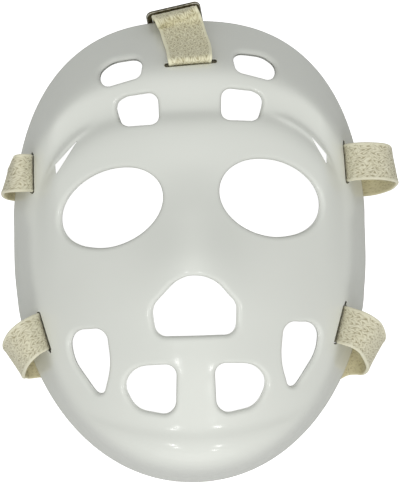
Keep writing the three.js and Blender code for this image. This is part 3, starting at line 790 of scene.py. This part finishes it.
# Stations along each strap: x, y, z, then heading and lean of its width in degrees.
UPPER_BAND = [
    (84.9, 40.2, 17.4, 92, 0), (85.2, 40.4, 20.5, 92.5, 0), (85.5, 40.6, 25, 93, 0),
    (85.9, 40.8, 33, 94, 0), (89, 41, 40.4, 93, 0), (96, 41, 43.2, 91, 0),
    (104.6, 40.4, 40.6, 90, 0), (110, 39, 34, 95, -7), (112.4, 37.2, 24.6, 97, -30),
    (111, 34.8, 13, 98, -19), (105.2, 33.2, 4.5, 94, -6), (98.4, 32.8, 2, 90, 0),
    (91.4, 33.2, 2, 90, 2), (85.4, 33.8, 4.8, 89, 18), (80.4, 34.9, 8.6, 85, 43),
    (75.8, 36.5, 10.8, 77, 71), (71, 38.7, 11.2, 69, 86), (65, 41.6, 11.2, 66, 90),
    (56, 45.8, 11.2, 66, 90), (43, 51.6, 11.2, 68, 90), (28, 57.2, 11.2, 72, 90),
    (9, 60, 11.2, 84, 90), (-11, 59, 11.2, 96, 90), (-29, 54, 11.2, 112, 90),
    (-44, 46.4, 11.2, 118, 90), (-56, 40.8, 11.2, 117, 90), (-64.6, 37.6, 11.2, 113, 90),
    (-70.8, 35.8, 11.2, 108, 86), (-75.6, 34.8, 10.8, 102, 71), (-80.2, 34.4, 8.6, 95, 43),
    (-85, 34.3, 4.8, 91, 18), (-90, 34.4, 2, 88, 2), (-95.6, 34.6, 1.8, 88, 0),
    (-99.9, 35.3, 4.9, 84, 0), (-100.6, 36.1, 13, 78, 0), (-99.3, 37, 24, 72, 0),
    (-97.4, 37.8, 34, 72, 0), (-94, 38.4, 40.2, 79, 0), (-89.4, 38.6, 40.9, 86, 0),
    (-86, 38.6, 35.4, 90, 0), (-85.4, 38.5, 26, 90, 0), (-85.2, 38.4, 20.5, 90, 0),
    (-85, 38.2, 17.4, 90, 0),
]
LOWER_BAND = [
    (71.6, -46.6, 5.2, 84, 0), (75.6, -46.6, 6.6, 82, 0), (78.6, -46.6, 13, 77, 0),
    (79.5, -46.5, 24, 73, 0), (79.8, -46.5, 38, 73, 0), (82.6, -47.2, 45.2, 70, 0),
    (88.6, -49.4, 48.4, 64, 0), (94.2, -53.2, 46, 59, 0), (97.8, -58.4, 38, 57, 0),
    (100, -63.2, 27, 59, 0), (99.8, -66, 15, 64, 0), (96.8, -67.4, 5.6, 72, 0),
    (91.6, -67, 2.5, 80, 0), (85.8, -67.4, 2.9, 92, 3), (80.4, -70, 5.7, 108, 20),
    (75, -74.4, 9, 122, 46), (69, -80.2, 10.9, 128, 73), (61, -86.8, 11.2, 128, 88),
    (47, -96, 11.2, 118, 90), (24, -104.5, 11.2, 104, 90), (0, -107.5, 11.2, 90, 90),
    (-24, -105, 11.2, 76, 90), (-47, -97, 11.2, 62, 90), (-61, -87, 11.2, 52, 88),
    (-71.4, -73.2, 10.7, 51, 70), (-75.4, -69, 8.2, 62, 42), (-80.2, -65.8, 4.8, 78, 14),
    (-85.4, -64.5, 2.9, 92, 3), (-90.6, -65, 2.5, 101, 0), (-95.2, -65.2, 5.6, 113, 0),
    (-98.1, -65.3, 15, 121, 0), (-97.6, -62.6, 27, 125, 0), (-95.6, -58.6, 38, 125, 0),
    (-92.2, -54.2, 45.6, 122, 0), (-87.6, -50.2, 48, 117, 0), (-82.8, -47.6, 45, 110, 0),
    (-80.4, -46.7, 38, 107, 0), (-80.1, -46.8, 24, 107, 0), (-79.2, -47, 13, 103, 0),
    (-76.2, -47, 6.6, 98, 0), (-72.2, -47, 5.2, 96, 0),
]


def lay(x, y, out, heading):
    """A station off the shell's skin."""
    return (*off_skin(x, y, out), heading, 0)


def slide_axes():
    """Along its bars, up across them and out of its plate."""
    turn, tip = math.radians(SLIDE_TURN), math.radians(SLIDE_TIP)
    wide = Vector((math.cos(turn), math.sin(turn), 0))
    away = Vector((-math.sin(turn), math.cos(turn), 0))
    up = away * math.sin(tip) + Vector((0, 0, math.cos(tip)))
    shown = -away * math.cos(tip) + Vector((0, 0, math.sin(tip)))
    return wide, up, shown


def on_slide(out, up):
    """A station at the slide: out of its plate, and up from its middle bar."""
    _, high, shown = slide_axes()
    return (*(Vector(SLIDE_AT) + high * up + shown * out), SLIDE_TURN, 0)


# Middle of the crown strap: out from the skin, under it, and past the slide's plate.
OUT = GAP + STRAP_T / 2 + 0.3
IN = -(WALL + GAP + STRAP_T / 2 + 2.7)
PAST = SLIDE_T / 2 + STRAP_T / 2 + 0.7
TOP_STRAP = [
    (-1.4, 90, 4.3, 3, 0), (-1.4, 95.6, 5.4, 3, 0), (-1.2, 100.6, 11.4, 4, 0),
    (-1, 102.8, 21, 4, 0), lay(-0.2, 110, IN, 4), lay(0.6, 103, IN, 4.5),
    (1, 94.6, 53.5, 4.5, 0), (1.1, 92.8, 60, 4.5, 0), (1.1, 92.8, 68, 4.5, 0),
    (1, 94.8, 72.6, 4.5, 0), lay(0.5, 99.4, OUT + 1, 5), lay(-1.2, 106, OUT + 1.2, 7),
    lay(-3, 112.4, OUT + 3.2, 9), (-5.4, 121.4, 40.6, 11, 0), (-7, 124.6, 31, 12, 0),
    on_slide(2.4, 7.2), on_slide(0, 4.5), on_slide(-PAST, 1.2),
    on_slide(-PAST, -1.2), on_slide(0, -4.6), on_slide(PAST, -8.2),
    on_slide(PAST, -10.8), (-4.6, 110.4, 7.4, 10, 0), (-4, 107.6, 3, 8, 0),
    (-3, 101, 1.5, 4, 0), (-1.6, 84, 1.5, -1, 0), (-1.2, 71, 1.6, -2, 0),
    (-1.2, 64.6, 4.8, -2, 0), (-1.2, 63, 12, -2, 0), (-1.2, 62.8, 23, -2, 0),
]
# Which station of which strap lies in each slot, and how wide the strap is there.
STRAP_AT = {
    "crown": (TOP_STRAP, 7, CROWN_W * 0.93),
    "upper_right": (UPPER_BAND, 2, BAND_W),
    "upper_left": (UPPER_BAND, 40, BAND_W),
    "lower_right": (LOWER_BAND, 3, BAND_W),
    "lower_left": (LOWER_BAND, 37, BAND_W),
}


# ---- slide --------------------------------------------------------------------------------
SLIDE_CORNER = 3.5  # radius of the plate's corners, of its windows' corners and of its edges
WINDOW_CORNER = 0.8
SLIDE_EDGE = 0.6
HAMMERED = 0.05  # unevenness of its face
BEVEL_HIGHLIGHT = (0.22, 0.95)  # how far in from the outer edge its painted highlight lies, along the bevel


def slide_mesh():
    def rect(x0, y0, x1, y1, r):
        return filleted([(x0, y0, r), (x1, y0, r), (x1, y1, r), (x0, y1, r)], 8)

    w, h = SLIDE_W / 2, SLIDE_H / 2
    x = w - SLIDE_SIDE
    gap = (SLIDE_H - 3 * SLIDE_BAR) / 2
    lines = [rect(-w, -h, w, h, SLIDE_CORNER),
             rect(-x, SLIDE_BAR / 2, x, SLIDE_BAR / 2 + gap, WINDOW_CORNER),
             rect(-x, -SLIDE_BAR / 2 - gap, x, -SLIDE_BAR / 2, WINDOW_CORNER)]
    points, loops, drop = [], [], []
    for k, line in enumerate(lines):
        line = even(line, 0.45)
        m = outward(line) * (-1 if k == 0 else 1)
        for step in (90, 60, 30, 0):
            a = math.radians(step)
            start = sum(len(p) for p in points)
            points.append(line + m * SLIDE_EDGE * (1 - math.sin(a)))
            drop.append(np.full(len(line), SLIDE_EDGE * (1 - math.cos(a))))
            if step == 90:
                loops.append(np.arange(start, start + len(line)))
    xy, drop = np.concatenate(points), np.concatenate(drop)
    tri = triangulate(xy, loops)
    # A pressed plate with a shallow hammered unevenness.
    wavy = HAMMERED * np.sin(xy[:, 0] * 1.7) * np.cos(xy[:, 1] * 1.3)
    top = SLIDE_T / 2 - drop + wavy * (drop == 0)
    bottom = -(SLIDE_T / 2 - drop)
    total = len(xy)
    local = np.vstack([np.column_stack([xy, top]), np.column_stack([xy, bottom])])
    faces = [tri, tri[:, ::-1] + total]
    for k, loop in enumerate(loops):
        a, b = loop, np.roll(loop, -1)
        if k == 0:
            a, b = b, a
        faces.append(np.stack([b, a, a + total], -1))
        faces.append(np.stack([b, a + total, b + total], -1))
    wide, high, shown = slide_axes()
    basis = np.array([list(wide), list(high), list(shown)])
    faces = np.concatenate(faces)
    # A painted highlight: the lighter metal in a line just inside the outer edge, along its bevel.
    depth = distance(local[:, :2], lines[0])[faces].mean(1)
    which = ((depth > BEVEL_HIGHLIGHT[0]) & (depth < BEVEL_HIGHLIGHT[1])).astype(int)
    return local @ basis + SLIDE_AT, faces, which


# ---- materials ----------------------------------------------------------------------------
def node_material(name):
    m = bpy.data.materials.new(name)
    m.use_nodes = True
    t = m.node_tree
    return m, t, t.nodes["Principled BSDF"]


def put(node, **values):
    """Sets a node's inputs, named with _ for a space."""
    for key, value in values.items():
        node.inputs[key.replace("_", " ")].default_value = value


def place(tree):
    return tree.nodes.new("ShaderNodeTexCoord").outputs["Object"]


def noise(tree, vector, scale, detail, roughness):
    node = tree.nodes.new("ShaderNodeTexNoise")
    put(node, Scale=scale, Detail=detail, Roughness=roughness)
    tree.links.new(vector, node.inputs["Vector"])
    return node.outputs["Fac"]


def bump(tree, principled, height, strength, distance):
    node = tree.nodes.new("ShaderNodeBump")
    put(node, Strength=strength, Distance=distance)
    tree.links.new(height, node.inputs["Height"])
    tree.links.new(node.outputs["Normal"], principled.inputs["Normal"])


def ramp(tree, fac, stops):
    node = tree.nodes.new("ShaderNodeValToRGB")
    e = node.color_ramp.elements
    while len(e) < len(stops):
        e.new(0.5)
    for item, (pos, colour) in zip(e, stops):
        item.position = pos
        item.color = (*colour, 1)
    tree.links.new(fac, node.inputs[0])
    return node.outputs[0]


def mix(tree, fac, a, b):
    """Mixes colours, given as sockets or as three numbers."""
    node = tree.nodes.new("ShaderNodeMix")
    node.data_type = "RGBA"
    for socket, value in ((node.inputs[0], fac), (node.inputs[6], a), (node.inputs[7], b)):
        if isinstance(value, tuple):
            socket.default_value = (*value, 1)
        else:
            tree.links.new(value, socket)
    return node.outputs[2]


def plastic():
    """Glossy off-white polyethylene, barely uneven in tone and polish."""
    m, t, p = node_material("moulded_plastic")
    at = place(t)
    colour = ramp(t, noise(t, at, 14.0, 2.0, 0.4), [(0.3, (0.79, 0.805, 0.76)),
                                                    (0.7, (0.81, 0.822, 0.775))])
    t.links.new(colour, p.inputs["Base Color"])
    rough = ramp(t, noise(t, at, 180.0, 3.0, 0.6), [(0.35, (0.14,) * 3), (0.7, (0.21,) * 3)])
    t.links.new(rough, p.inputs["Roughness"])
    put(p, Specular_IOR_Level=0.5, IOR=1.5)
    bump(t, p, noise(t, at, 45.0, 1.0, 0.5), 0.04, 0.0004)
    return m


def painted_slot_shade():
    """Painted shade for the floors of the strap slots' blind ends: a dark, mottled colour standing
    in for their shadow.
    """
    m, t, p = node_material("slot_painted_shade")
    colour = ramp(t, noise(t, place(t), 400.0, 3.0, 0.6), [(0.3, (0.24, 0.22, 0.16)),
                                                           (0.7, (0.40, 0.37, 0.30))])
    t.links.new(colour, p.inputs["Base Color"])
    put(p, Roughness=0.6)
    return m


def elastic(name, width, cords, hollow_shade_and_specks, lines, relief):
    """Ecru woven elastic: cream strands with a painted shade in the hollows of the weave and
    random dark specks, each between two tones. lines: how much painted shade lies between the
    strands. relief: how strongly its fibres catch the light."""
    m, t, p = node_material(name)
    uv = t.nodes.new("ShaderNodeUVMap").outputs[0]
    split = t.nodes.new("ShaderNodeSeparateXYZ")
    t.links.new(uv, split.inputs[0])
    u = Wave(t, split.outputs[0]) * 1000.0
    v = Wave(t, split.outputs[1]) * 1000.0
    strand, pit = weave(u, v)
    scale = t.nodes.new("ShaderNodeMapping")
    put(scale, Scale=(1000, 1000, 1000))
    t.links.new(uv, scale.inputs["Vector"])
    at = scale.outputs[0]
    patches = noise(t, at, 0.16, 4.0, 0.6)
    fibre = noise(t, at, 2.4, 3.0, 0.7)
    fuzz = Wave(t, fibre)
    stray = (Wave(t, noise(t, at, 0.85, 2.0, 0.6)) * 4.0 - 2.35).op("MAXIMUM", 0.0)
    into = (width / 2 - SELVEDGE + 0.4) - u.op("ABSOLUTE")
    off_cord = (into * 1.2).op("MAXIMUM", 0.0).op("MINIMUM", 1.0)
    # Painted shade: the colour darkens where the mesh is hollowed, between the strands and in the
    # pits, with random dark specks besides.
    low = (lines * (1.0 - strand) + pit + stray) * off_cord + fuzz * 0.45
    fac = ramp(t, low.socket, [(0.24, (0, 0, 0)), (0.95, (1, 1, 1))])
    t.links.new(mix(t, fac, mix(t, patches, *cords), mix(t, fibre, *hollow_shade_and_specks)), p.inputs["Base Color"])
    put(p, Roughness=0.92, Specular_IOR_Level=0.2, Sheen_Weight=0.2, Sheen_Roughness=0.5)
    bump(t, p, (strand * 0.4 + fuzz * 0.7 - pit * 0.6).socket, relief, 0.0003)
    return m


def metal(name, low, middle, high):
    """Worn nickel over brass, in blotches of three tones; a lighter copy paints a highlight."""
    m, t, p = node_material(name)
    blot = noise(t, place(t), 420.0, 5.0, 0.65)
    t.links.new(ramp(t, blot, [(0.36, low), (0.55, middle), (0.72, high)]), p.inputs["Base Color"])
    put(p, Metallic=0.85)
    t.links.new(ramp(t, blot, [(0.35, (0.55,) * 3), (0.7, (0.28,) * 3)]), p.inputs["Roughness"])
    bump(t, p, blot, 0.3, 0.0002)
    return m


# ---- build --------------------------------------------------------------------------------
# The shell's second material is a painted shade for the floors of the slots' blind ends.
PLASTIC, SLOT_SHADE = plastic(), painted_slot_shade()
# Each fabric: cream tones, the darker tones of the painted shade in the weave's hollows and its
# specks, how much shade lies between the strands, and the relief.
INSIDE = (((0.70, 0.64, 0.40), (0.76, 0.70, 0.48)), ((0.50, 0.43, 0.24), (0.58, 0.52, 0.32)),
          0.2, 0.3)
FABRIC = {
    BAND_W: [elastic("band_elastic", BAND_W, ((0.76, 0.72, 0.53), (0.88, 0.85, 0.69)),
                     ((0.38, 0.33, 0.19), (0.54, 0.49, 0.33)), 0.3, 0.6),
             elastic("band_elastic_inside", BAND_W, *INSIDE)],
    # The crown strap's tones are painted lighter than the bands', making up for the light it
    # misses where it slopes towards the crown.
    CROWN_W: [elastic("crown_elastic", CROWN_W, ((0.90, 0.86, 0.60), (1.0, 0.97, 0.76)),
                      ((0.46, 0.40, 0.22), (0.62, 0.56, 0.37)), 0.42, 0.6),
              elastic("crown_elastic_inside", CROWN_W, *INSIDE)],
}
DULL = metal("worn_metal", (0.05, 0.042, 0.022), (0.16, 0.135, 0.075), (0.30, 0.27, 0.19))
# A lighter copy of the metal, for the painted highlight along the slide's bevel.
PAINTED_HIGHLIGHT = metal("painted_highlight_metal", (0.45, 0.43, 0.36), (0.66, 0.64, 0.58), (0.80, 0.78, 0.73))


def piece(name, verts, faces, which, materials, node, uv=None):
    """which: the number of each face's material."""
    obj = make_object(name, metres(verts), faces, uv)
    for material in materials:
        obj.data.materials.append(material)
    obj.data.polygons.foreach_set("material_index", which)
    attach(obj, "root")
    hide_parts(node)
    return obj


verts, faces, which = shell_mesh()
shell = piece("moulded_shell", verts, faces, which, [PLASTIC, SLOT_SHADE], "shell")

straps = {}
for name, node, stations, width, fine, outer, pinch in (
    ("upper_elastic", "upper_band", UPPER_BAND, BAND_W, [(2, 12), (31, 41)], 1,
     ((8.5, 2.8, 0.94, 1), (33.8, 2.2, 0.8, -1))),
    ("lower_elastic", "lower_band", LOWER_BAND, BAND_W, [(3, 13), (26, 37)], 1,
     ((9.5, 2.0, 0.93, 0), (30.5, 2.0, 0.95, 0))),
    ("crown_elastic", "top_strap", TOP_STRAP, CROWN_W, [(7, 17)], -1, ((7.6, 1.6, 0.93, 0),)),
):
    verts, faces, uv, length, which = strap_mesh(stations, width, fine, outer, pinch)
    obj = piece(name, verts, faces, which, FABRIC[width], node, uv)
    straps[name] = (obj, width, length)
    print(name, "length mm", round(length, 1), "faces", len(faces))

verts, faces, which = slide_mesh()
slide = piece("strap_slide", verts, faces, which, [DULL, PAINTED_HIGHLIGHT], "slide_buckle")

for name, rests in (("upper_elastic", [shell]), ("lower_elastic", [shell]),
                    ("crown_elastic", [shell, slide])):
    obj, width, length = straps[name]
    width * 0.001
    length * 0.001

# ---- floor, light and camera --------------------------------------------------------------
floor_mesh = bpy.data.meshes.new("floor")
R = 3.0
floor_mesh.from_pydata([(-R, -R, 0), (R, -R, 0), (R, R, 0), (-R, R, 0)], [], [(0, 1, 2, 3)])
floor = bpy.data.objects.new("floor", floor_mesh)
bpy.context.scene.collection.objects.link(floor)
floor.location.z = -0.0002  # just clear of the back edge
m, t, p = node_material("floor_white")
put(p, Base_Color=(0.5, 0.5, 0.5, 1), Roughness=1.0, Specular_IOR_Level=0.0,
    Emission_Color=(1, 1, 1, 1))
# White where it is looked at, without lighting the mask from below.
seen = t.nodes.new("ShaderNodeLightPath").outputs["Is Camera Ray"]
t.links.new(seen, p.inputs["Emission Strength"])
floor_mesh.materials.append(m)

# Soft light from all round, brighter overhead and a little on the chin's side.
world = bpy.data.worlds.new("studio")
bpy.context.scene.world = world
world.use_nodes = True
t = world.node_tree
sky = t.nodes["Background"]
toward = t.nodes.new("ShaderNodeVectorMath")
toward.operation = "DOT_PRODUCT"
toward.inputs[1].default_value = (0, -0.2, 0.98)
t.links.new(t.nodes.new("ShaderNodeTexCoord").outputs["Generated"], toward.inputs[0])
t.links.new(ramp(t, toward.outputs["Value"], [(0.0, (0.43, 0.435, 0.43)),
                                              (1.0, (0.98, 0.99, 0.97))]), sky.inputs[0])
sky.inputs[1].default_value = 0.93


def lamp(name, at, target, wide, high, radiance):
    """A round lamp, or an oblong one if high isn't None."""
    light = bpy.data.lights.new(name, "AREA")
    light.shape = "RECTANGLE" if high else "DISK"
    light.size = wide
    area = math.pi * wide * wide / 4
    if high:
        light.size_y = high
        area = wide * high
    light.energy = radiance * math.pi * area
    obj = bpy.data.objects.new(name, light)
    bpy.context.scene.collection.objects.link(obj)
    obj.location = at
    obj.rotation_euler = (Vector(target) - Vector(at)).to_track_quat("-Z", "Y").to_euler()


FACE = (0, -0.05, 0.05)
lamp("strip", (0, -0.75, 0.3), (0, -0.1, 0.05), 0.9, 0.5, 0.5)
lamp("lamp_left_high", (-0.50, -0.42, 1.12), FACE, 0.11, None, 24)
lamp("lamp_left_low", (-0.42, -0.62, 1.06), FACE, 0.09, None, 22)
lamp("lamp_right_high", (0.49, -0.57, 1.05), FACE, 0.11, None, 26)
lamp("lamp_right_low", (0.40, -0.90, 0.90), FACE, 0.09, None, 23)
bpy.context.scene.view_settings.view_transform = "Standard"

# The camera hangs over the face, a little to the left, turned a degree.
EYE = (-11.4, 0, 900)
AIM = (5.6, 0, 0)
ROLL = 1.2
cam_data = bpy.data.cameras.new("camera")
cam_data.sensor_fit = "HORIZONTAL"
cam_data.sensor_width = 36
cam_data.lens = 143.9
cam_data.clip_start = 0.05
cam_data.clip_end = 20
cam = bpy.data.objects.new("camera", cam_data)
bpy.context.scene.collection.objects.link(cam)
eye = Vector(metres(EYE))
look = (Vector(metres(AIM)) - eye).normalized()
roll = math.radians(ROLL)
up = Vector((math.sin(roll), math.cos(roll), 0))
right = look.cross(up).normalized()
up = right.cross(look)
cam.matrix_world = Matrix((
    (right.x, up.x, -look.x, eye.x),
    (right.y, up.y, -look.y, eye.y),
    (right.z, up.z, -look.z, eye.z),
    (0, 0, 0, 1),
))
bpy.context.scene.camera = cam
